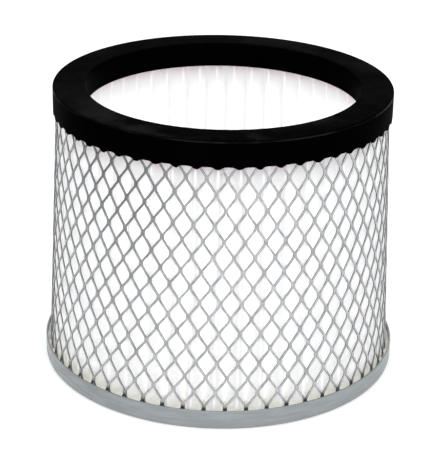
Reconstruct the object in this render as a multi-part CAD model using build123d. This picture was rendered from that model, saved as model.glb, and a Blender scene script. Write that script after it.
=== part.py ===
from build123d import *
from math import cos, pi, radians, sin, sqrt
import os

# A round HEPA filter cartridge that stands on its closed end.
# The axis is Z, the closed cap is at z = 0 and the open mouth faces up.
# A folded filter sheet stands inside a tube of expanded metal. A soft moulded
# ring holds both at the mouth, and at the foot they stand in a bed of adhesive
# in a pressed cap.

# Driving dimensions, in millimetres and degrees
overall_height = 135.5
ring_outer_diameter = 158.0
ring_bore_diameter = 127.6
ring_height = 12.1
cap_outer_diameter = 168.8
cap_height = 9.2
cap_sheet = 0.7
cap_bend_radius = 1.5

# Ring details
ring_outer_bevel = 0.9
ring_inner_bevel = 0.8
trench_inner_diameter = 130.4
trench_outer_diameter = 156.2
drip_drop = 1.4
drip_width = 4.4
drip_slope = 1.1
drip_root = 0.3
drip_setback = 0.1

# Expanded metal guard
mesh_columns = 54
mesh_rows = 16
first_joint_height = 7.05
joint_rise = 7.37
strand_width = 1.15
strand_depth = 1.0
guard_diameter_at_foot = 164.8
guard_diameter_at_ring = 155.6
guard_turn = -2.6

# Folded filter sheet
pleat_count = 48
pleat_turn = 2.75
sheet_thickness = 0.6
fold_width = 0.85
pleat_inner_diameter_at_ring = 132.0
pleat_clearance = 0.15
pleat_foot_height = 2.4

ring_bottom = overall_height - ring_height
top_joint_height = first_joint_height + mesh_rows * joint_rise
line_step = pi / mesh_columns
half_side = sin(line_step / 2)


def polar(radius, angle, height):
    """A point by its radius, its angle from the front towards +X, and its height."""
    return Vector(radius * sin(angle), -radius * cos(angle), height)


def flat_face(loop, *holes):
    """A flat face from its loop of corner points, and the loops of its holes."""
    outline = Wire.make_polygon(loop, close=True)
    return Face(outline, [Wire.make_polygon(hole, close=True) for hole in holes])


# The joints of the guard lie on upright lines, two to a column of openings, and
# the guard is flat between each line and the next. Points of a flat side are
# given as x across from its middle, and height.
def guard_radius(height):
    """Radius of the joints' outer ridges, which shrinks evenly towards the ring."""
    share = (height - first_joint_height) / (top_joint_height - first_joint_height)
    return (guard_diameter_at_foot + (guard_diameter_at_ring - guard_diameter_at_foot) * share) / 2


def joint_height(row):
    return first_joint_height + row * joint_rise


def strand_edges(row, side):
    """The upper and lower edge of the strand that rises from this row's joint.

    Each edge is a line, height = rise * x + start. The joint is on the left line
    of the flat side where side is -1, and on its right line where side is 1."""
    low_x = side * guard_radius(joint_height(row)) * half_side
    high_x = -side * guard_radius(joint_height(row + 1)) * half_side
    rise = joint_rise / (high_x - low_x)
    start = joint_height(row) - rise * low_x
    shift = strand_width / 2 * sqrt(1 + rise * rise)
    return (rise, start + shift), (rise, start - shift)


def crossing(first, second):
    """The point where two edges cross, beside a joint."""
    x = (second[1] - first[1]) / (first[0] - second[0])
    return x, first[0] * x + first[1]


def meeting(edge, side):
    """The point above or below a joint, where an edge meets the joints' own line."""
    rise, start = edge
    x_at_zero = side * (guard_radius(0) - strand_depth) * half_side
    x_per_height = side * (guard_radius(1) - guard_radius(0)) * half_side
    height = (rise * x_at_zero + start) / (1 - rise * x_per_height)
    return x_at_zero + x_per_height * height, height


guard_foot = meeting(strand_edges(-1, 1)[1], -1)[1]
guard_top = meeting(strand_edges(mesh_rows, -1)[0], -1)[1]


def guard_side(index):
    """The faces of one flat side: a strand that zigzags from the foot to the top.

    A strand has a ridge outside, because stretching the sheet turns it on edge,
    and a flat back."""
    angle = radians(guard_turn) + (index + 0.5) * line_step
    across = Vector(cos(angle), sin(angle), 0)
    outward = Vector(sin(angle), -cos(angle), 0)

    def back(point):
        x, height = point
        reach = (guard_radius(height) - strand_depth) * cos(line_step / 2)
        return across * x + outward * reach + Vector(0, 0, height)

    def ridge(row, side):
        height = joint_height(row)
        return polar(guard_radius(height), angle + side * line_step / 2, height)

    sides = [-1 if (row + index) % 2 == 0 else 1 for row in range(-1, mesh_rows + 2)]
    side_of = {row: sides[row + 1] for row in range(-1, mesh_rows + 2)}
    edges = {row: strand_edges(row, side_of[row]) for row in range(-1, mesh_rows + 1)}
    ridges = [ridge(row, side_of[row]) for row in range(mesh_rows + 1)]
    above = [back(meeting(edges[row][0], side_of[row])) for row in range(mesh_rows + 1)]
    below = [back(meeting(edges[row - 1][1], side_of[row])) for row in range(mesh_rows + 1)]
    beside = [back(crossing(edges[row][1], edges[row - 1][0])) for row in range(mesh_rows + 1)]

    faces = [flat_face([ridges[0], below[0], beside[0]]), flat_face([ridges[-1], above[-1], beside[-1]])]
    for row in range(mesh_rows):
        faces.append(flat_face([ridges[row], ridges[row + 1], beside[row + 1], above[row]]))
        faces.append(flat_face([ridges[row], beside[row], below[row + 1], ridges[row + 1]]))
    own_line, other_line = [], []
    for row in range(mesh_rows + 1):
        if side_of[row] == side_of[0]:
            own_line += [below[row], above[row]]
            other_line.append(beside[row])
        else:
            own_line.append(beside[row])
            other_line += [below[row], above[row]]
    faces.append(flat_face(own_line + other_line[::-1]))
    return faces


# Expanded metal guard: steel sheet, slit and stretched into diamonds, rolled to a
# slightly flared tube and galvanised. It is one piece.
def make_outer_guard():
    faces = [face for index in range(2 * mesh_columns) for face in guard_side(index)]
    return Solid(Shell(faces))


# Folded filter sheet: one long white sheet in deep pleats, bent round and joined.
# It flares with the guard, so every fold leans to one point on the axis.
def pleat_outer_radius(height):
    return (guard_radius(height) - strand_depth) * cos(line_step / 2) - pleat_clearance


def make_filter_media():
    outer = pleat_outer_radius(guard_top)
    inner = pleat_inner_diameter_at_ring / 2
    flare = pleat_outer_radius(pleat_foot_height) / outer

    def skin(tip_radius, tip_turn, valley_radius, height, scale):
        """One skin of the sheet: each fold is blunt at its tip and sharp in its valley."""
        points = []
        for pleat in range(pleat_count):
            tip = tip_turn + pleat * 2 * pi / pleat_count
            half_fold = fold_width / 2 / tip_radius
            points.append(polar(tip_radius * scale, tip - half_fold, height))
            points.append(polar(tip_radius * scale, tip + half_fold, height))
            points.append(polar(valley_radius * scale, tip + pi / pleat_count, height))
        return points

    first_inner = radians(pleat_turn)
    first_outer = first_inner + pi / pleat_count

    def outside(height, scale):
        return skin(outer, first_outer, inner + sheet_thickness, height, scale)

    def inside(height, scale):
        return skin(inner, first_inner, outer - sheet_thickness, height, scale)

    faces = []
    for loop in (outside, inside):
        foot = loop(pleat_foot_height, flare)
        top = loop(guard_top, 1)
        for i in range(len(foot)):
            faces.append(flat_face([foot[i - 1], foot[i], top[i], top[i - 1]]))
    for height, scale in ((pleat_foot_height, flare), (guard_top, 1)):
        faces.append(flat_face(outside(height, scale), inside(height, scale)))
    return Solid(Shell(faces))


# Moulded ring: soft black polyurethane, cast round the top of the sheet and the
# guard. Its flat top seals against the lid, and its mouth takes a round spigot.
def make_top_ring():
    outer = ring_outer_diameter / 2
    bore = ring_bore_diameter / 2
    trench_in = trench_inner_diameter / 2
    trench_out = trench_outer_diameter / 2
    section = Polyline(
        (bore, ring_bottom + ring_inner_bevel),
        (bore, overall_height - ring_inner_bevel),
        (bore + ring_inner_bevel, overall_height),
        (outer - ring_outer_bevel, overall_height),
        (outer, overall_height - ring_outer_bevel),
        (outer, ring_bottom),
        (trench_out, ring_bottom),
        (trench_out, guard_top),
        (trench_in, guard_top),
        (trench_in, ring_bottom),
        (bore + ring_inner_bevel, ring_bottom),
        close=True,
    )
    ring = revolve(Plane.XZ * make_face(section), Axis.Z)
    return ring + ring_drips(trench_out, outer)


# The casting creeps a little way down the guard at each of its top joints. These
# drips scallop the ring's lower edge.
def ring_drips(inner, outer):
    root = drip_width / 2
    foot = root - drip_slope
    outline = Polyline(
        (-root, drip_root),
        (-root, 0),
        (-foot, -drip_drop),
        (foot, -drip_drop),
        (root, 0),
        (root, drip_root),
        close=True,
    )
    outline_face = Plane.XZ.offset(inner + drip_setback) * make_face(outline)
    drip = Pos(0, 0, ring_bottom) * extrude(outline_face, outer - inner - 2 * drip_setback)
    pitch = 360 / mesh_columns
    return [Rot(0, 0, guard_turn + i * pitch) * drip for i in range(mesh_columns)]


# Bottom cap: a shallow pan pressed from galvanised sheet, which closes the foot.
# Its bend is round outside. Inside, the adhesive covers it, and it is a bevel.
cap_wall_inside = cap_outer_diameter / 2 - cap_sheet
cap_bevel = cap_bend_radius - cap_sheet
cap_corner_inside = (
    (cap_wall_inside, cap_sheet + cap_bevel),
    (cap_wall_inside - cap_bevel, cap_sheet),
)


def make_bottom_cap():
    radius = cap_outer_diameter / 2
    wall = Line((radius, cap_height), (radius, cap_bend_radius))
    bend = RadiusArc(wall @ 1, (radius - cap_bend_radius, 0), cap_bend_radius)
    base = Line(bend @ 1, (0, 0))
    inside = Polyline((0, 0), (0, cap_sheet), cap_corner_inside[1], cap_corner_inside[0],
                      (cap_wall_inside, cap_height), (radius, cap_height))
    return revolve(Plane.XZ * make_face(wall + bend + base + inside), Axis.Z)


# Adhesive bed: cast in the cap, it grips the foot of the pleats and carries the
# foot of the guard.
def make_potting_bed(media):
    section = Polyline(
        (0, cap_sheet),
        cap_corner_inside[1],
        cap_corner_inside[0],
        (cap_wall_inside, guard_foot),
        (0, guard_foot),
        close=True,
    )
    bed = revolve(Plane.XZ * make_face(section), Axis.Z)
    return bed - media


media = make_filter_media()
pieces = {
    "top_ring": make_top_ring(),
    "outer_guard": make_outer_guard(),
    "filter_media": media,
    "potting_bed": make_potting_bed(media),
    "bottom_cap": make_bottom_cap(),
}

os.makedirs("parts", exist_ok=True)
for name, piece in pieces.items():
    export_step(piece, f"parts/{name}.step")
    print(name, round(piece.volume), "mm3", piece.bounding_box())
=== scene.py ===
from math import acos, atan2, cos, exp, hypot, pi, radians, sin, tan

import bpy
from mathutils import Matrix, Vector, noise


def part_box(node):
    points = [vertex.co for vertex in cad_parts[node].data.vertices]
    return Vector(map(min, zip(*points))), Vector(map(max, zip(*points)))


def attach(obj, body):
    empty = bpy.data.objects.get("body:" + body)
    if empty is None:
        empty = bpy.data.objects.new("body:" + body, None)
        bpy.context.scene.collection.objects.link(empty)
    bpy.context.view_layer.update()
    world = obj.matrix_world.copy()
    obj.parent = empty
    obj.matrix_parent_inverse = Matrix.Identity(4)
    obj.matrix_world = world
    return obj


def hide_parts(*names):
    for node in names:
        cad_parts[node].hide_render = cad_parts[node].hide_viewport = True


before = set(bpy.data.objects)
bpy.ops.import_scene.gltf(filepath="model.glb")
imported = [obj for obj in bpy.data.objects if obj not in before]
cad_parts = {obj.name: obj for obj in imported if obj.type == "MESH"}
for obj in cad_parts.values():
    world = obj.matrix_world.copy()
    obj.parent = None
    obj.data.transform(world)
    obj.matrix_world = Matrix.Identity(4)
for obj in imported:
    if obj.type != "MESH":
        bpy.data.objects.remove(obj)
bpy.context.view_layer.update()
mm = 0.001

# Bottom cap
# A shallow pan pressed from galvanised steel sheet. It closes the foot of the
# cartridge, and the adhesive that holds the filter is poured into it.
cap_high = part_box("bottom_cap")[1]
cap_radius = cap_high.x
cap_height = cap_high.z
cap_sheet = 0.7 * mm
cap_bend = 1.5 * mm
cap_edge = 0.16 * mm
cap_segments = 288
cap_cloud_size = 16 * mm
cap_streaks = (1, 1, 9)
cap_zinc_light = (0.334, 0.360, 0.367, 1)
cap_zinc_dark = (0.294, 0.318, 0.324, 1)
crystals_per_cloud = 3.2
crystal_share = 0.3
zinc_roughness = (0.5, 0.36)
zinc_relief = 0.03 * mm


def section_line(corners, steps=6):
    """The points of a section from its corners, each (radius, height, rounding)."""
    points = []
    for i, (radius, height, rounding) in enumerate(corners):
        corner = Vector((radius, height))
        if rounding == 0:
            points.append(corner)
            continue
        back = (Vector(corners[i - 1][:2]) - corner).normalized()
        ahead = (Vector(corners[(i + 1) % len(corners)][:2]) - corner).normalized()
        half_angle = back.angle(ahead) / 2
        centre = corner + (back + ahead).normalized() * rounding / sin(half_angle)
        first = corner + back * rounding / tan(half_angle) - centre
        last = corner + ahead * rounding / tan(half_angle) - centre
        for step in range(steps + 1):
            spoke = first.lerp(last, step / steps).normalized()
            points.append(centre + spoke * rounding)
    return points


def mesh_object(name, points, faces, sharp_angle=35):
    """A smooth-shaded object at the origin, with sharp edges where it bends hard."""
    mesh = bpy.data.meshes.new(name)
    mesh.from_pydata(points, [], faces)
    mesh.validate()
    mesh.shade_smooth()
    mesh.set_sharp_from_angle(angle=radians(sharp_angle))
    made = bpy.data.objects.new(name, mesh)
    bpy.context.scene.collection.objects.link(made)
    return made


def turned_solid(name, section, segments, surface=None):
    """A solid turned about Z from a section that starts and ends on the axis.

    The section runs from the bottom centre, round the outside, to the top centre.
    Where a height in it is None, the surface gives it by radius and angle."""
    points = []
    for place, (radius, height) in enumerate(section):
        on_axis = place in (0, len(section) - 1)
        for j in range(1 if on_axis else segments):
            angle = 2 * pi * j / segments
            level = surface(radius, angle) if height is None else height
            points.append((radius * sin(angle), -radius * cos(angle), level))
    rings = len(section) - 2
    faces = []
    for j in range(segments):
        after = (j + 1) % segments
        faces.append((0, 1 + after, 1 + j))
        top = 1 + (rings - 1) * segments
        faces.append((top + j, top + after, len(points) - 1))
        for i in range(rings - 1):
            low = 1 + i * segments
            faces.append((low + j, low + after, low + segments + after, low + segments + j))
    return mesh_object(name, points, faces)


def set_inputs(tree, node, inputs):
    """Gives each of a node's inputs a plain value, or links it from an output."""
    for socket, value in inputs.items():
        if isinstance(value, bpy.types.NodeSocket):
            tree.links.new(value, node.inputs[socket])
        else:
            node.inputs[socket].default_value = value


def add_node(tree, kind, inputs=None, **settings):
    """A new node with its settings and its inputs."""
    made = tree.nodes.new(kind)
    for setting, value in settings.items():
        setattr(made, setting, value)
    set_inputs(tree, made, inputs or {})
    return made


def add_math(tree, operation, *values):
    return add_node(tree, "ShaderNodeMath", dict(enumerate(values)), operation=operation).outputs[0]


def blend_colours(tree, factor, first, second):
    """The colour between two others."""
    return add_node(tree, "ShaderNodeMix", {0: factor, 6: first, 7: second}, data_type="RGBA").outputs[2]


def remap(tree, value, source, target=(0.0, 1.0)):
    """A value eased from one range to another, and held inside it."""
    ends = {0: value, 1: source[0], 2: source[1], 3: target[0], 4: target[1]}
    return add_node(tree, "ShaderNodeMapRange", ends, interpolation_type="SMOOTHSTEP").outputs[0]


def object_place(tree):
    """The place of a point on its own object."""
    return add_node(tree, "ShaderNodeTexCoord").outputs["Object"]


def relief(tree, height, strength, depth):
    """The normal of a surface with fine relief."""
    values = {"Strength": strength, "Distance": depth, "Height": height}
    return add_node(tree, "ShaderNodeBump", values).outputs[0]


def new_tree(name, kind, inputs, outputs):
    """A node tree with named inputs and outputs: the tree, and what it is given."""
    tree = bpy.data.node_groups.new(name, kind)
    for direction, sockets in (("INPUT", inputs), ("OUTPUT", outputs)):
        for label, value_kind in sockets.items():
            tree.interface.new_socket(label, in_out=direction, socket_type="NodeSocket" + value_kind)
    return tree, tree.nodes.new("NodeGroupInput").outputs


def new_material(name):
    """An empty material: its tree, and its one Principled shader."""
    material = bpy.data.materials.new(name)
    material.use_nodes = True
    tree = material.node_tree
    return material, tree, tree.nodes["Principled BSDF"]


def make_zinc_group():
    """Hot-dip zinc: cloudy grey with soft crystals, streaked along the rolled sheet."""
    group, given = new_tree(
        "zinc_coat",
        "ShaderNodeTree",
        {"Cloud size": "Float", "Streaks": "Vector", "Light": "Color", "Dark": "Color"},
        {"Color": "Color", "Roughness": "Float", "Relief": "Float"},
    )
    stretched = {"Vector": object_place(group), "Scale": given["Streaks"]}
    place = add_node(group, "ShaderNodeMapping", stretched).outputs[0]
    per_metre = add_math(group, "DIVIDE", 1.0, given["Cloud size"])
    clouds = add_node(
        group,
        "ShaderNodeTexNoise",
        {"Vector": place, "Scale": per_metre, "Detail": 4.0, "Roughness": 0.55, "Distortion": 0.2},
    ).outputs[0]
    finer = add_math(group, "MULTIPLY", per_metre, crystals_per_cloud)
    crystals = add_node(
        group,
        "ShaderNodeTexVoronoi",
        {"Vector": place, "Scale": finer, "Randomness": 1.0},
        feature="SMOOTH_F1",
    ).outputs["Distance"]
    cloud_mask = remap(group, clouds, (0.32, 0.68))
    crystal_mask = remap(group, crystals, (0.1, 0.8))
    mask = add_node(group, "ShaderNodeMix", {0: crystal_share, 2: cloud_mask, 3: crystal_mask}).outputs[0]
    colour = blend_colours(group, mask, given["Dark"], given["Light"])
    roughness = remap(group, mask, (0.0, 1.0), zinc_roughness)
    add_node(group, "NodeGroupOutput", {"Color": colour, "Roughness": roughness, "Relief": mask})
    return group


zinc_coat = make_zinc_group()


def zinc_material(name, cloud_size, streaks, light, dark):
    """Galvanised steel from the zinc group."""
    material, tree, shader = new_material(name)
    values = {"Cloud size": cloud_size, "Streaks": streaks, "Light": light, "Dark": dark}
    coat = add_node(tree, "ShaderNodeGroup", values, node_tree=zinc_coat).outputs
    set_inputs(tree, shader, {
        "Base Color": coat["Color"],
        "Metallic": 1.0,
        "Roughness": coat["Roughness"],
        "Normal": relief(tree, coat["Relief"], 0.35, zinc_relief),
    })
    return material


cap_section = section_line([
    (0, 0, 0),
    (cap_radius, 0, cap_bend),
    (cap_radius, cap_height, cap_edge),
    (cap_radius - cap_sheet, cap_height, cap_edge),
    (cap_radius - cap_sheet, cap_sheet, cap_bend - cap_sheet),
    (0, cap_sheet, 0),
])
cap_zinc = zinc_material("galvanised_sheet", cap_cloud_size, cap_streaks, cap_zinc_light, cap_zinc_dark)
bottom_cap = turned_solid("galvanised_cap", cap_section, cap_segments)
bottom_cap.data.materials.append(cap_zinc)
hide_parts("bottom_cap")
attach(bottom_cap, "root")

# Filter sheet
# One long sheet of white filter paper in 48 deep pleats, bent round and joined.
# Its foot stands in the adhesive, and its top is cast into the ring.
media_low, media_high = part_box("filter_media")
ring_low, ring_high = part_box("top_ring")
pleat_count = 48
pleat_turn = radians(2.75)
sheet_thickness = 0.6 * mm
fold_radius = 0.55 * mm
pleat_inner_radius = 66.0 * mm
pleat_slack = 0.35 * mm
pleat_levels = 26
fold_steps = 4
pleat_waviness = 0.3 * mm
pleat_wave_size = 16 * mm
weld_distance = 0.002 * mm
paper_white = (0.975, 0.975, 0.98, 1)
paper_soaked = (0.90, 0.885, 0.83, 1)
paper_tinted = (0.88, 0.70, 0.79, 1)
stain_waviness = 9 * mm
# Painted light: the paper's glow, which lightens its shaded hollows
painted_light_outside = (0.32, 0.32, 0.32, 1)
painted_light_strength = 0.34

# The guard's joints and its flare, which the pleats follow
guard_low, guard_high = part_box("outer_guard")
guard_depth = 1.0 * mm
mesh_columns = 54
mesh_rows = 16
first_joint = 9.4 * mm
joint_rise = 7.2 * mm
guard_foot_radius = 82.32 * mm
guard_top_radius = 77.83 * mm
top_joint = first_joint + mesh_rows * joint_rise


def guard_radius(height):
    """Outer radius of the guard, which shrinks evenly towards the ring."""
    share = (height - first_joint) / (top_joint - first_joint)
    return guard_foot_radius + (guard_top_radius - guard_foot_radius) * share


def pleat_outer_radius(height):
    return guard_radius(height) - guard_depth - pleat_slack


def half_fold(side):
    """Section of half a pleat, from an inner fold's crest to an outer fold's crest.

    Side 1 is the skin that faces the bore, and side -1 the skin that faces out."""
    crest = fold_radius + sheet_thickness / 2
    half_pitch = pi / pleat_count
    inner = Vector((0, -(pleat_inner_radius + crest)))
    reach = pleat_outer_radius(media_high.z) - crest
    outer = Vector((reach * sin(half_pitch), -reach * cos(half_pitch)))
    apart = outer - inner
    lean = acos(2 * fold_radius / apart.length)
    across = Matrix.Rotation(lean, 2) @ apart.normalized()
    inner_radius = fold_radius + side * sheet_thickness / 2
    outer_radius = fold_radius - side * sheet_thickness / 2
    inner_start, outer_end = Vector((0, 1)), Vector((sin(half_pitch), -cos(half_pitch)))
    points = []
    for step in range(fold_steps + 1):
        spoke = inner_start.lerp(across, step / fold_steps).normalized()
        points.append(inner + spoke * inner_radius)
    for step in range(fold_steps + 1):
        spoke = (-across).lerp(outer_end, step / fold_steps).normalized()
        points.append(outer + spoke * outer_radius)
    return points


def whole_fold(side):
    """Section of one pleat, from inner crest to inner crest."""
    half = half_fold(side)
    pitch = 2 * pi / pleat_count
    mirrored = []
    for point in reversed(half[:-1]):
        radius = point.length
        angle = atan2(point.x, -point.y)
        mirrored.append(Vector((radius * sin(pitch - angle), -radius * cos(pitch - angle))))
    return half + mirrored


def make_pleat():
    """One pleat as a strip of sheet, from its foot to its top, open at both ends."""
    skins = [whole_fold(1), whole_fold(-1)]
    count = len(skins[0])
    top_radius = pleat_outer_radius(media_high.z)
    points, faces = [], []
    for level in range(pleat_levels + 1):
        height = media_low.z + (media_high.z - media_low.z) * level / pleat_levels
        scale = pleat_outer_radius(height) / top_radius
        for skin in skins:
            points += [(point.x * scale, point.y * scale, height) for point in skin]
    row = 2 * count
    for level in range(pleat_levels):
        for i in range(count - 1):
            a, b = level * row + i, (level + 1) * row + i
            faces.append((a + 1, a, b, b + 1))
            faces.append((a + count, a + count + 1, b + count + 1, b + count))
    last = pleat_levels * row
    for i in range(count - 1):
        faces.append((i, i + 1, i + count + 1, i + count))
        faces.append((last + i + 1, last + i, last + i + count, last + i + count + 1))
    return points, faces


def add_vector_math(tree, operation, inputs, output="Vector"):
    return add_node(tree, "ShaderNodeVectorMath", inputs, operation=operation).outputs[output]


def ring_of(name, base, count, first_angle, material, sharp_angle, waviness=0.0, wave_size=20 * mm):
    """Geometry Nodes: a ring of copies of one shape about Z, welded and a little uneven."""
    sizes = {"Copies": count, "First angle": first_angle, "Waviness": waviness, "Wave size": wave_size}
    sockets = {"Geometry": "Geometry", "Copies": "Int"}
    sockets.update({"First angle": "Float", "Waviness": "Float", "Wave size": "Float"})
    tree, given = new_tree(name, "GeometryNodeTree", sockets, {"Geometry": "Geometry"})
    spots = add_node(tree, "GeometryNodePoints", {"Count": given["Copies"]}).outputs[0]
    index = add_node(tree, "GeometryNodeInputIndex").outputs[0]
    step = add_math(tree, "DIVIDE", 2 * pi, given["Copies"])
    angle = add_math(tree, "MULTIPLY_ADD", index, step, given["First angle"])
    turn = add_node(tree, "ShaderNodeCombineXYZ", {"Z": angle}).outputs[0]
    copies = add_node(
        tree,
        "GeometryNodeInstanceOnPoints",
        {"Points": spots, "Instance": given["Geometry"], "Rotation": turn},
    ).outputs[0]
    real = add_node(tree, "GeometryNodeRealizeInstances", {"Geometry": copies}).outputs[0]
    welds = {"Geometry": real, "Distance": weld_distance}
    welded = add_node(tree, "GeometryNodeMergeByDistance", welds).outputs[0]
    place = add_node(tree, "GeometryNodeInputPosition").outputs[0]
    per_metre = add_math(tree, "DIVIDE", 1.0, given["Wave size"])
    waves = add_node(
        tree, "ShaderNodeTexNoise", {"Vector": place, "Scale": per_metre, "Detail": 1.0, "Roughness": 0.4}
    ).outputs["Color"]
    centred = add_vector_math(tree, "SUBTRACT", {0: waves, 1: (0.5, 0.5, 0.5)})
    level = add_vector_math(tree, "MULTIPLY", {0: centred, 1: (2, 2, 0)})
    offset = add_vector_math(tree, "SCALE", {0: level, "Scale": given["Waviness"]})
    moved = add_node(tree, "GeometryNodeSetPosition", {"Geometry": welded, "Offset": offset}).outputs[0]
    done = add_node(tree, "GeometryNodeSetMaterial", {"Geometry": moved, "Material": material}).outputs[0]
    add_node(tree, "NodeGroupOutput", {"Geometry": done})

    base_object = mesh_object(name + "_copy", *base)
    modifier = base_object.modifiers.new("ring", "NODES")
    modifier.node_group = tree
    for socket in tree.interface.items_tree:
        if socket.in_out == "INPUT" and socket.name in sizes:
            modifier[socket.identifier] = sizes[socket.name]
    depsgraph = bpy.context.evaluated_depsgraph_get()
    mesh = bpy.data.meshes.new_from_object(base_object.evaluated_get(depsgraph), depsgraph=depsgraph)
    bpy.data.objects.remove(base_object)
    mesh.name = name
    mesh.shade_smooth()
    mesh.set_sharp_from_angle(angle=radians(sharp_angle))
    made = bpy.data.objects.new(name, mesh)
    bpy.context.scene.collection.objects.link(made)
    return made


def make_grain_group():
    """Soft uneven spots through a matted or poured material."""
    group, given = new_tree(
        "grain",
        "ShaderNodeTree",
        {"Per metre": "Float", "Detail": "Float", "Roughness": "Float", "Distortion": "Float"},
        {"Spots": "Float"},
    )
    values = {
        "Vector": object_place(group),
        "Scale": given["Per metre"],
        "Detail": given["Detail"],
        "Roughness": given["Roughness"],
        "Distortion": given["Distortion"],
    }
    spots = add_node(group, "ShaderNodeTexNoise", values).outputs[0]
    add_node(group, "NodeGroupOutput", {"Spots": spots})
    return group


material_grain = make_grain_group()


def grain(tree, per_metre, detail, roughness=0.5, distortion=0.0):
    """The spots of the grain group at one size."""
    values = {"Per metre": per_metre, "Detail": detail, "Roughness": roughness, "Distortion": distortion}
    return add_node(tree, "ShaderNodeGroup", values, node_tree=material_grain).outputs["Spots"]


def axis_distance(tree, place):
    """How far a point is from the axis."""
    level = add_vector_math(tree, "MULTIPLY", {0: place, 1: (1, 1, 0)})
    return add_vector_math(tree, "LENGTH", {0: level}, "Value")


def make_paper():
    """White filter paper. Adhesive has soaked into its foot, and its top is tinted pink just under the ring.

    The sheet glows a little: painted light that stands in for light through the thin sheet and lightens its
    shaded hollows. Inside the bore the painted light is weaker just under the ring, a painted shade there."""
    material, tree, shader = new_material("filter_paper")
    place = object_place(tree)
    height = add_node(tree, "ShaderNodeSeparateXYZ", {0: place}).outputs["Z"]
    patches = grain(tree, 140.0, 2.0)
    wavy_height = add_math(tree, "MULTIPLY_ADD", patches, -stain_waviness, height)
    soaked = remap(tree, wavy_height, (1 * mm, 5 * mm), (1.0, 0.0))
    tinted = remap(tree, wavy_height, (ring_low.z - 10 * mm, ring_low.z - 1 * mm))
    colour = blend_colours(tree, soaked, paper_white, paper_soaked)
    colour = blend_colours(tree, tinted, colour, paper_tinted)
    radius = axis_distance(tree, place)
    outside = remap(tree, radius, (pleat_inner_radius + 1 * mm, pleat_inner_radius + 9 * mm))
    # Painted light inside the bore, weaker just under the ring as painted shade
    painted_light_by_height = remap(tree, height, (ring_low.z - 24 * mm, ring_low.z - 4 * mm), (1.0, 0.3))
    painted_light_inside = add_vector_math(tree, "SCALE", {0: colour, "Scale": painted_light_by_height})
    fibres = grain(tree, 2400.0, 3.0, distortion=1.2)
    set_inputs(tree, shader, {
        "Base Color": colour,
        "Roughness": 0.85,
        "Specular IOR Level": 0.25,
        "Emission Color": blend_colours(tree, outside, painted_light_inside, painted_light_outside),
        "Emission Strength": painted_light_strength,
        "Normal": relief(tree, fibres, 0.25, 0.06 * mm),
    })
    return material


filter_media = ring_of(
    "pleated_media",
    make_pleat(),
    pleat_count,
    pleat_turn,
    make_paper(),
    sharp_angle=50,
    waviness=pleat_waviness,
    wave_size=pleat_wave_size,
)
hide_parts("filter_media")
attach(filter_media, "root")

# Adhesive bed
# Cream adhesive poured into the cap. It grips the foot of the pleats and of the
# guard, and it has crept a little way up every wall it touches.
bed_radius = cap_radius - cap_sheet
bed_top = guard_low.z
bed_plain_radius = pleat_inner_radius - 4 * mm
creep_height = 1.5 * mm
wall_creep_height = 0.9 * mm
creep_reach = 0.9 * mm
bed_dip = 0.5 * mm
bed_waves = 0.22 * mm
bed_wave_size = 9 * mm
bed_steps_per_pleat = 14
bed_inner_rings = 9
bed_outer_rings = 42
adhesive_dark = (0.84, 0.825, 0.75, 1)
adhesive_light = (0.90, 0.89, 0.83, 1)


def sheet_distance(radius, angle, scale):
    """How far a point of the bed is from the sheet's middle line, seen from above."""
    pitch = 2 * pi / pleat_count
    turn = abs((angle - pleat_turn + pitch / 2) % pitch - pitch / 2)
    inner = Vector((0, pleat_inner_radius + sheet_thickness)) * scale
    reach = (pleat_outer_radius(media_high.z) - sheet_thickness) * scale
    outer = Vector((reach * sin(pitch / 2), reach * cos(pitch / 2)))
    point = Vector((radius * sin(turn), radius * cos(turn)))
    along = (point - inner).dot(outer - inner) / (outer - inner).length_squared
    nearest = inner.lerp(outer, min(1, max(0, along)))
    return (point - nearest).length


def bed_surface(radius, angle):
    """Height of the poured surface at a point."""
    scale = pleat_outer_radius(bed_top) / pleat_outer_radius(media_high.z)
    gap = max(0, sheet_distance(radius, angle, scale) - sheet_thickness / 2)
    wall_gap = bed_radius - radius
    creep = creep_height * exp(-gap / creep_reach) + wall_creep_height * exp(-wall_gap / creep_reach)
    spot = Vector((radius * sin(angle), -radius * cos(angle), 0)) / bed_wave_size
    return bed_top - bed_dip + creep + bed_waves * noise.noise(spot)


def make_bed():
    """A disc of adhesive, with closer rings of points where the pleats stand."""
    pleated = bed_radius - bed_plain_radius
    radii = [bed_plain_radius * (i + 1) / bed_inner_rings for i in range(bed_inner_rings)]
    radii += [bed_plain_radius + pleated * (i + 1) / bed_outer_rings for i in range(bed_outer_rings)]
    floor = [(0, cap_sheet), (bed_radius, cap_sheet)]
    poured = [(radius, None) for radius in reversed(radii)] + [(0, None)]
    return turned_solid("adhesive_bed", floor + poured, pleat_count * bed_steps_per_pleat, bed_surface)


def make_adhesive():
    material, tree, shader = new_material("cream_adhesive")
    patches = grain(tree, 90.0, 4.0)
    set_inputs(tree, shader, {
        "Base Color": blend_colours(tree, remap(tree, patches, (0.35, 0.65)), adhesive_dark, adhesive_light),
        "Roughness": remap(tree, patches, (0.3, 0.7), (0.28, 0.5)),
        "Normal": relief(tree, grain(tree, 420.0, 2.0), 0.3, 0.12 * mm),
    })
    return material


adhesive_bed = make_bed()
adhesive_bed.data.materials.append(make_adhesive())
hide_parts("potting_bed")
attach(adhesive_bed, "root")

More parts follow.
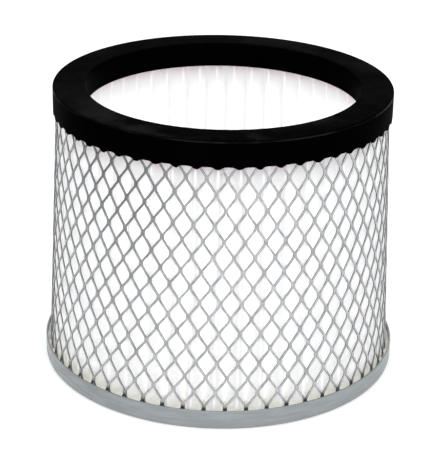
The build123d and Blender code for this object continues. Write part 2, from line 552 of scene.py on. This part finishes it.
# Outer guard
# One steel sheet, slit and stretched into diamonds, rolled to a flared tube and
# galvanised. Its columns of diamonds lean to the right at the top and its rows
# run down to the right, as they appear to in the photograph.
guard_turn = radians(-2.6)
guard_lean = radians(3.0)
row_drop = 1.9 * mm
strand_width = 1.08 * mm
joint_width = 1.9 * mm
strand_thickness = 0.6 * mm
strand_twist = radians(2)
strand_chamfer = 0.08 * mm
joint_length = 2.15 * mm
bend_length = 0.4 * mm
flush_from = 0.97
line_step = pi / mesh_columns
guard_cloud_size = 5 * mm
guard_streaks = (1, 1, 1.5)
guard_zinc_light = (0.51, 0.52, 0.53, 1)
guard_zinc_dark = (0.335, 0.342, 0.348, 1)
cut_side_facing = 0.4
# Darker cut sides: partly duller cut zinc, partly painted shade for the shaded paper they reflect
dull_and_shaded_cut_zinc = (0.16, 0.165, 0.17, 1)
# Painted shade on the strands at the cap's rim, which shades them
rim_shade_zinc = (0.2, 0.2, 0.19, 1)
rim_shade_low = cap_height - 0.4 * mm
rim_shade_high = cap_height + 1.1 * mm


def lattice_lean(height):
    """How far the leaning columns have turned about the axis at a height."""
    share = (height - first_joint) / (top_joint - first_joint)
    return guard_lean * (share - 0.5)


def share_across(rise):
    """How far across a strand has gone, 0 to 1, at a rise above its last joint.

    It runs upright along the joint, bends, and is straight in between."""
    straight = joint_rise - joint_length - bend_length
    slope = 1 / (straight + bend_length)
    into = rise - joint_length / 2
    if into <= 0:
        return 0
    if into < bend_length:
        return slope * into * into / (2 * bend_length)
    if into > straight + bend_length:
        left = max(0, straight + 2 * bend_length - into)
        return 1 - slope * left * left / (2 * bend_length)
    return slope * (into - bend_length / 2)


def strand_stations():
    """Rises above a joint where the strand has a section, up to the next joint."""
    start = joint_length / 2
    bend = [start, start + bend_length / 2, start + bend_length]
    return [0] + bend + [joint_rise - rise for rise in reversed(bend)]


def strand_side(rise, first_side):
    """Where a strand is between its two lines of joints: -1 on the left, 1 on the right."""
    if rise <= 0:
        return first_side * (1 - 2 * share_across(-rise))
    row = min(int(rise // joint_rise), mesh_rows)
    side = first_side if row % 2 == 0 else -first_side
    if row == mesh_rows:
        return side
    return side * (1 - 2 * share_across(rise - row * joint_rise))


def strand_half_width(side):
    """A strand is widest in a joint, where two of them lie side by side."""
    return strand_width / 2 + (joint_width / 4 - strand_width / 2) * side ** 4


def strand_centre(rise, first_side):
    side = strand_side(rise, first_side)
    height = first_joint + rise
    radius = guard_radius(height) - guard_depth / 2 - side * strand_half_width(side) * sin(strand_twist)
    reach = line_step / 2 - joint_width / 4 / guard_radius(height)
    angle = side * reach + lattice_lean(height)
    return Vector((radius * sin(angle), -radius * cos(angle), height))


def make_strand(first_side):
    """One strand, which zigzags from the foot to the top between two lines of joints.

    First side is -1 where its lowest joint is on its left, and 1 on its right."""
    stations = [guard_low.z - first_joint] + [-rise for rise in reversed(strand_stations()[1:4])]
    for row in range(mesh_rows):
        stations += [row * joint_rise + rise for rise in strand_stations()]
    stations += [mesh_rows * joint_rise, guard_high.z - first_joint]
    probe = 0.02 * mm
    points, faces = [], []
    for rise in stations:
        side = strand_side(rise, first_side)
        middle = strand_centre(rise, first_side)
        along = strand_centre(rise + probe, first_side) - strand_centre(rise - probe, first_side)
        level = along.cross(Vector((middle.x, middle.y, 0))).normalized()
        outward = level.cross(along).normalized()
        wide = level * cos(strand_twist) + outward * sin(strand_twist)
        thick = outward * cos(strand_twist) - level * sin(strand_twist)
        for x, y in ((-1, -1), (-1, 1), (1, 1), (1, -1)):
            chamfer = 0 if x * side > flush_from else strand_chamfer
            corner = middle + wide * x * strand_half_width(side) + thick * y * strand_thickness / 2
            on_face, on_edge = corner - wide * x * chamfer, corner - thick * y * chamfer
            points += [on_face, on_edge] if x == y else [on_edge, on_face]
    count = len(points) // len(stations)
    for i in range(len(stations) - 1):
        for j in range(count):
            after = (j + 1) % count
            low, high = i * count, (i + 1) * count
            faces.append((low + j, low + after, high + after, high + j))
    faces.append(tuple(range(count))[::-1])
    faces.append(tuple(range(len(points) - count, len(points))))
    return points, faces


def make_column():
    """Two neighbouring strands, which together repeat round the tube."""
    points, faces = [], []
    for index, first_side in enumerate((-1, 1)):
        strand_points, strand_faces = make_strand(first_side)
        turn = Matrix.Rotation((index + 0.5) * line_step, 3, "Z")
        start = len(points)
        points += [turn @ point for point in strand_points]
        faces += [tuple(start + corner for corner in face) for face in strand_faces]
    return points, faces


def tip_rows(mesh):
    """Lets the rows run down to the right, except at the hidden ends of the strands."""
    for vertex in mesh.vertices:
        x, y, z = vertex.co
        from_foot = (z - guard_low.z) / (cap_height - guard_low.z)
        from_top = (guard_high.z - z) / (guard_high.z - ring_low.z)
        vertex.co.z = z - row_drop * x / hypot(x, y) * max(0, min(1, from_foot, from_top))


def mark_cut_sides(mesh):
    """Marks the cut sides of the strands, where the zinc is duller and painted shade stands for the shaded
    paper they reflect.
    """
    marks = mesh.attributes.new("cut_side", "FLOAT", "FACE")
    for face, mark in zip(mesh.polygons, marks.data):
        outward = Vector((face.center.x, face.center.y, 0)).normalized()
        mark.value = 1 if abs(face.normal.dot(outward)) < cut_side_facing else 0


def make_guard_zinc():
    """Zinc that is darker on the cut sides, partly duller and partly painted shade, and darker at the cap's
    rim, a painted shade where the rim shades the strands.
    """
    material = zinc_material(
        "galvanised_guard", guard_cloud_size, guard_streaks, guard_zinc_light, guard_zinc_dark
    )
    tree = material.node_tree
    shader = tree.nodes["Principled BSDF"]
    bright = shader.inputs["Base Color"].links[0].from_socket
    cut_side = add_node(tree, "ShaderNodeAttribute", attribute_name="cut_side").outputs["Fac"]
    colour = blend_colours(tree, cut_side, bright, dull_and_shaded_cut_zinc)
    height = add_node(tree, "ShaderNodeSeparateXYZ", {0: object_place(tree)}).outputs["Z"]
    # Painted shade at the cap's rim
    painted_rim_shade = remap(tree, height, (rim_shade_low, rim_shade_high), (1.0, 0.0))
    set_inputs(tree, shader, {"Base Color": blend_colours(tree, painted_rim_shade, colour, rim_shade_zinc)})
    return material


outer_guard = ring_of(
    "expanded_metal_guard", make_column(), mesh_columns, guard_turn, make_guard_zinc(), sharp_angle=40
)
mark_cut_sides(outer_guard.data)
tip_rows(outer_guard.data)
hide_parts("outer_guard")
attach(outer_guard, "root")

# Top ring
# Soft black polyurethane, cast round the top of the sheet and the guard. It has
# run down a little over every joint of the guard, so its lower edge is scalloped.
ring_outer = ring_high.x
ring_bore = 63.8 * mm
ring_height = 12.1 * mm
ring_bottom = ring_high.z - ring_height
ring_segments = mesh_columns * 10
ring_mouth_round = 0.8 * mm
ring_foot_round = 0.7 * mm
ring_top_round = 0.9 * mm
drip_depth = 1.6 * mm
drip_drop = 1.35 * mm
drip_width = 1.75 * mm
drip_shift = 0.5 * mm
edge_unevenness = 0.12 * mm
rubber_dark = (0.0002, 0.0002, 0.0002, 1)
rubber_light = (0.0006, 0.0006, 0.0006, 1)
# Coat that paints a highlight line along the top's outer lip
lip_highlight_coat = 0.3
# Coat on the top, partly hazy bloom and partly a painted sheen on the front
haze_and_front_sheen = 0.075


def drip_chance(column, stride, start):
    """An uneven number for one drip, about -1 to 1."""
    return noise.noise(Vector((column * stride, start, 0)))


def drip_at(angle):
    """How far the lower edge hangs down at an angle. No two drips are quite alike."""
    pitch = 2 * pi / mesh_columns
    from_first = angle - guard_turn - lattice_lean(ring_bottom)
    column = round(from_first / pitch)
    across = (from_first - column * pitch) * ring_outer
    column %= mesh_columns
    size = 0.92 + 0.3 * drip_chance(column, 1.7, 3.1)
    shift = drip_shift * drip_chance(column, 2.3, 9.4)
    width = drip_width * (1 + 0.35 * drip_chance(column, 1.9, 5.2))
    swell = exp(-abs((across - shift) / width) ** 3)
    return drip_drop * size * swell + edge_unevenness * noise.noise(Vector((angle * 40, 0.3, 0)))


def make_ring():
    section = section_line([
        (ring_bore, ring_bottom, ring_mouth_round),
        (ring_outer, ring_bottom, ring_foot_round),
        (ring_outer, ring_high.z, ring_top_round),
        (ring_bore, ring_high.z, ring_mouth_round),
    ], steps=7)
    drip_radius = guard_radius(ring_bottom) - drip_depth
    edge_height = ring_bottom + 1.01 * ring_foot_round
    edge = [point for point in section if point.y < edge_height and point.x > drip_radius]
    points, faces = [], []
    for j in range(ring_segments):
        angle = 2 * pi * j / ring_segments
        for point in section:
            drop = drip_at(angle) if point in edge else 0
            points.append((point.x * sin(angle), -point.x * cos(angle), point.y - drop))
    count = len(section)
    for j in range(ring_segments):
        after = (j + 1) % ring_segments
        for i in range(count):
            ahead = (i + 1) % count
            faces.append((j * count + i, after * count + i, after * count + ahead, j * count + ahead))
    return mesh_object("cast_ring", points, faces, sharp_angle=60)


def make_rubber():
    """Deep black rubber. Coat paints a highlight along its top's outer lip, and patchy coat on its top,
    strongest in front, is partly hazy bloom and partly a painted sheen on the front.
    """
    material, tree, shader = new_material("black_polyurethane")
    place = object_place(tree)
    along = add_node(tree, "ShaderNodeSeparateXYZ", {0: place}).outputs
    patches = grain(tree, 60.0, 5.0)
    radius = axis_distance(tree, place)
    spot = add_node(tree, "ShaderNodeCombineXYZ", {"X": radius, "Z": along["Z"]}).outputs[0]
    lip = (ring_outer - 0.15 * mm, 0, ring_high.z - 0.75 * mm)
    gap = add_vector_math(tree, "DISTANCE", {0: spot, 1: lip}, "Value")
    # Painted highlight: coat along the outer lip of the top
    painted_lip_highlight = remap(tree, gap, (0.15 * mm, 0.5 * mm), (lip_highlight_coat, 0.0))
    painted_lip_highlight = add_math(tree, "MULTIPLY", painted_lip_highlight, remap(tree, patches, (0.42, 0.6), (0.15, 1.0)))
    # Painted sheen, partly hazy bloom: patchy coat on the top, strongest in front
    haze_and_sheen = remap(tree, grain(tree, 28.0, 6.0, roughness=0.65), (0.42, 0.66), (0.0, haze_and_front_sheen))
    near = remap(tree, along["Y"], (-70 * mm, -10 * mm), (1.0, 0.3))
    upper = remap(tree, along["Z"], (ring_high.z - 1.2 * mm, ring_high.z - 0.4 * mm), (0.2, 1.0))
    haze_and_sheen = add_math(tree, "MULTIPLY", add_math(tree, "MULTIPLY", haze_and_sheen, near), upper)
    set_inputs(tree, shader, {
        "Base Color": blend_colours(tree, patches, rubber_dark, rubber_light),
        "Roughness": remap(tree, patches, (0.3, 0.7), (0.42, 0.56)),
        "IOR": 1.02,
        "Coat Weight": add_math(tree, "MAXIMUM", painted_lip_highlight, haze_and_sheen),
        "Coat Roughness": 0.3,
        "Normal": relief(tree, grain(tree, 700.0, 3.0), 0.12, 0.1 * mm),
    })
    return material


top_ring = make_ring()
top_ring.data.materials.append(make_rubber())
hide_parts("top_ring")
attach(top_ring, "root")

# Studio
# A plain pale floor, soft white lamps, and a dark card that only gloss sees. The
# floor and the world are white where the camera, a mirror or glass sees them.
floor_size = 6.0
floor_drop = 0.02 * mm
floor_glow = 0.3
world_light = 1.03
lamp_distance = 0.9
lamp_size = 0.8
middle_height = 70 * mm


def seen_rays(tree):
    """1 where a surface is looked at, and 0 where it lights the object."""
    rays = add_node(tree, "ShaderNodeLightPath").outputs
    seen = add_math(tree, "MAXIMUM", rays["Is Camera Ray"], rays["Is Glossy Ray"])
    return add_math(tree, "MAXIMUM", seen, rays["Is Transmission Ray"])


def make_floor():
    half = floor_size / 2
    points = [(-half, -half, -floor_drop), (half, -half, -floor_drop)]
    points += [(half, half, -floor_drop), (-half, half, -floor_drop)]
    floor = mesh_object("floor", points, [(0, 1, 2, 3)])
    material, tree, shader = new_material("white_floor")
    set_inputs(tree, shader, {
        "Base Color": (0.85, 0.85, 0.85, 1),
        "Roughness": 0.9,
        "Specular IOR Level": 0.0,
        "Emission Color": (1, 1, 1, 1),
        "Emission Strength": add_math(tree, "MULTIPLY", seen_rays(tree), floor_glow),
    })
    floor.data.materials.append(material)


def make_card():
    """The dark card lies to the left and is folded up at its far side.

    It darkens the metal on that side."""
    flat = [(-390, 170, 0.5), (-50, -570, 0.5), (-620, -760, 0.5), (-700, 320, 0.5)]
    upright = [(-620, -760, 260), (-700, 320, 260)]
    points = [(x * mm, y * mm, z * mm) for x, y, z in flat + upright]
    card = mesh_object("grey_card", points, [(0, 3, 2, 1), (2, 3, 5, 4)])
    material, tree, shader = new_material("grey_card")
    set_inputs(tree, shader, {"Base Color": (0.02, 0.02, 0.021, 1), "Roughness": 1.0})
    card.data.materials.append(material)
    card.visible_camera = card.visible_diffuse = card.visible_shadow = card.visible_transmission = False


def make_world():
    world = bpy.data.worlds.new("studio")
    bpy.context.scene.world = world
    world.use_nodes = True
    tree = world.node_tree
    strength = remap(tree, seen_rays(tree), (0.0, 1.0), (world_light, 1.0))
    set_inputs(tree, tree.nodes["Background"], {"Color": (1, 1, 1, 1), "Strength": strength})


def add_lamp(name, azimuth, elevation, power):
    """A square soft lamp that faces the object. Azimuth is from the front, to the right."""
    data = bpy.data.lights.new(name, "AREA")
    data.size = lamp_size
    data.energy = power
    lamp = bpy.data.objects.new(name, data)
    bpy.context.scene.collection.objects.link(lamp)
    a, e = radians(azimuth), radians(elevation)
    back = Vector((sin(a) * cos(e), -cos(a) * cos(e), sin(e)))
    lamp.location = Vector((0, 0, middle_height)) + back * lamp_distance
    lamp.rotation_mode = "QUATERNION"
    lamp.rotation_quaternion = back.to_track_quat("Z", "Y")


make_floor()
make_card()
make_world()
add_lamp("key_lamp", azimuth=20, elevation=50, power=1.5)
add_lamp("fill_lamp", azimuth=-50, elevation=40, power=0.7)

# Camera
# Fitted to the outlines in the photograph of 430 by 455 pixels.
photo_width, photo_height = 430, 455
axis_x, axis_y = 220.77, 213.11
focal_pixels = 1648.05
sensor_width = 36
camera_elevation = radians(22.58)
camera_roll = radians(-1.17)
camera_distance = 0.78962


def make_camera():
    data = bpy.data.cameras.new("camera")
    data.sensor_width = sensor_width
    data.lens = focal_pixels * sensor_width / photo_height
    data.shift_x = (photo_width / 2 - axis_x) / photo_height
    data.shift_y = (axis_y - photo_height / 2) / photo_height
    back = Vector((0, -cos(camera_elevation), sin(camera_elevation)))
    right = Vector((1, 0, 0))
    up = Vector((0, sin(camera_elevation), cos(camera_elevation)))
    turned_right = right * cos(camera_roll) - up * sin(camera_roll)
    turned_up = right * sin(camera_roll) + up * cos(camera_roll)
    turn = Matrix((turned_right, turned_up, back)).transposed().to_4x4()
    place = Vector((0, 0, middle_height)) + back * camera_distance
    camera = bpy.data.objects.new("camera", data)
    bpy.context.scene.collection.objects.link(camera)
    camera.matrix_world = Matrix.Translation(place) @ turn
    bpy.context.scene.camera = camera


make_camera()
bpy.context.scene.view_settings.view_transform = "Standard"
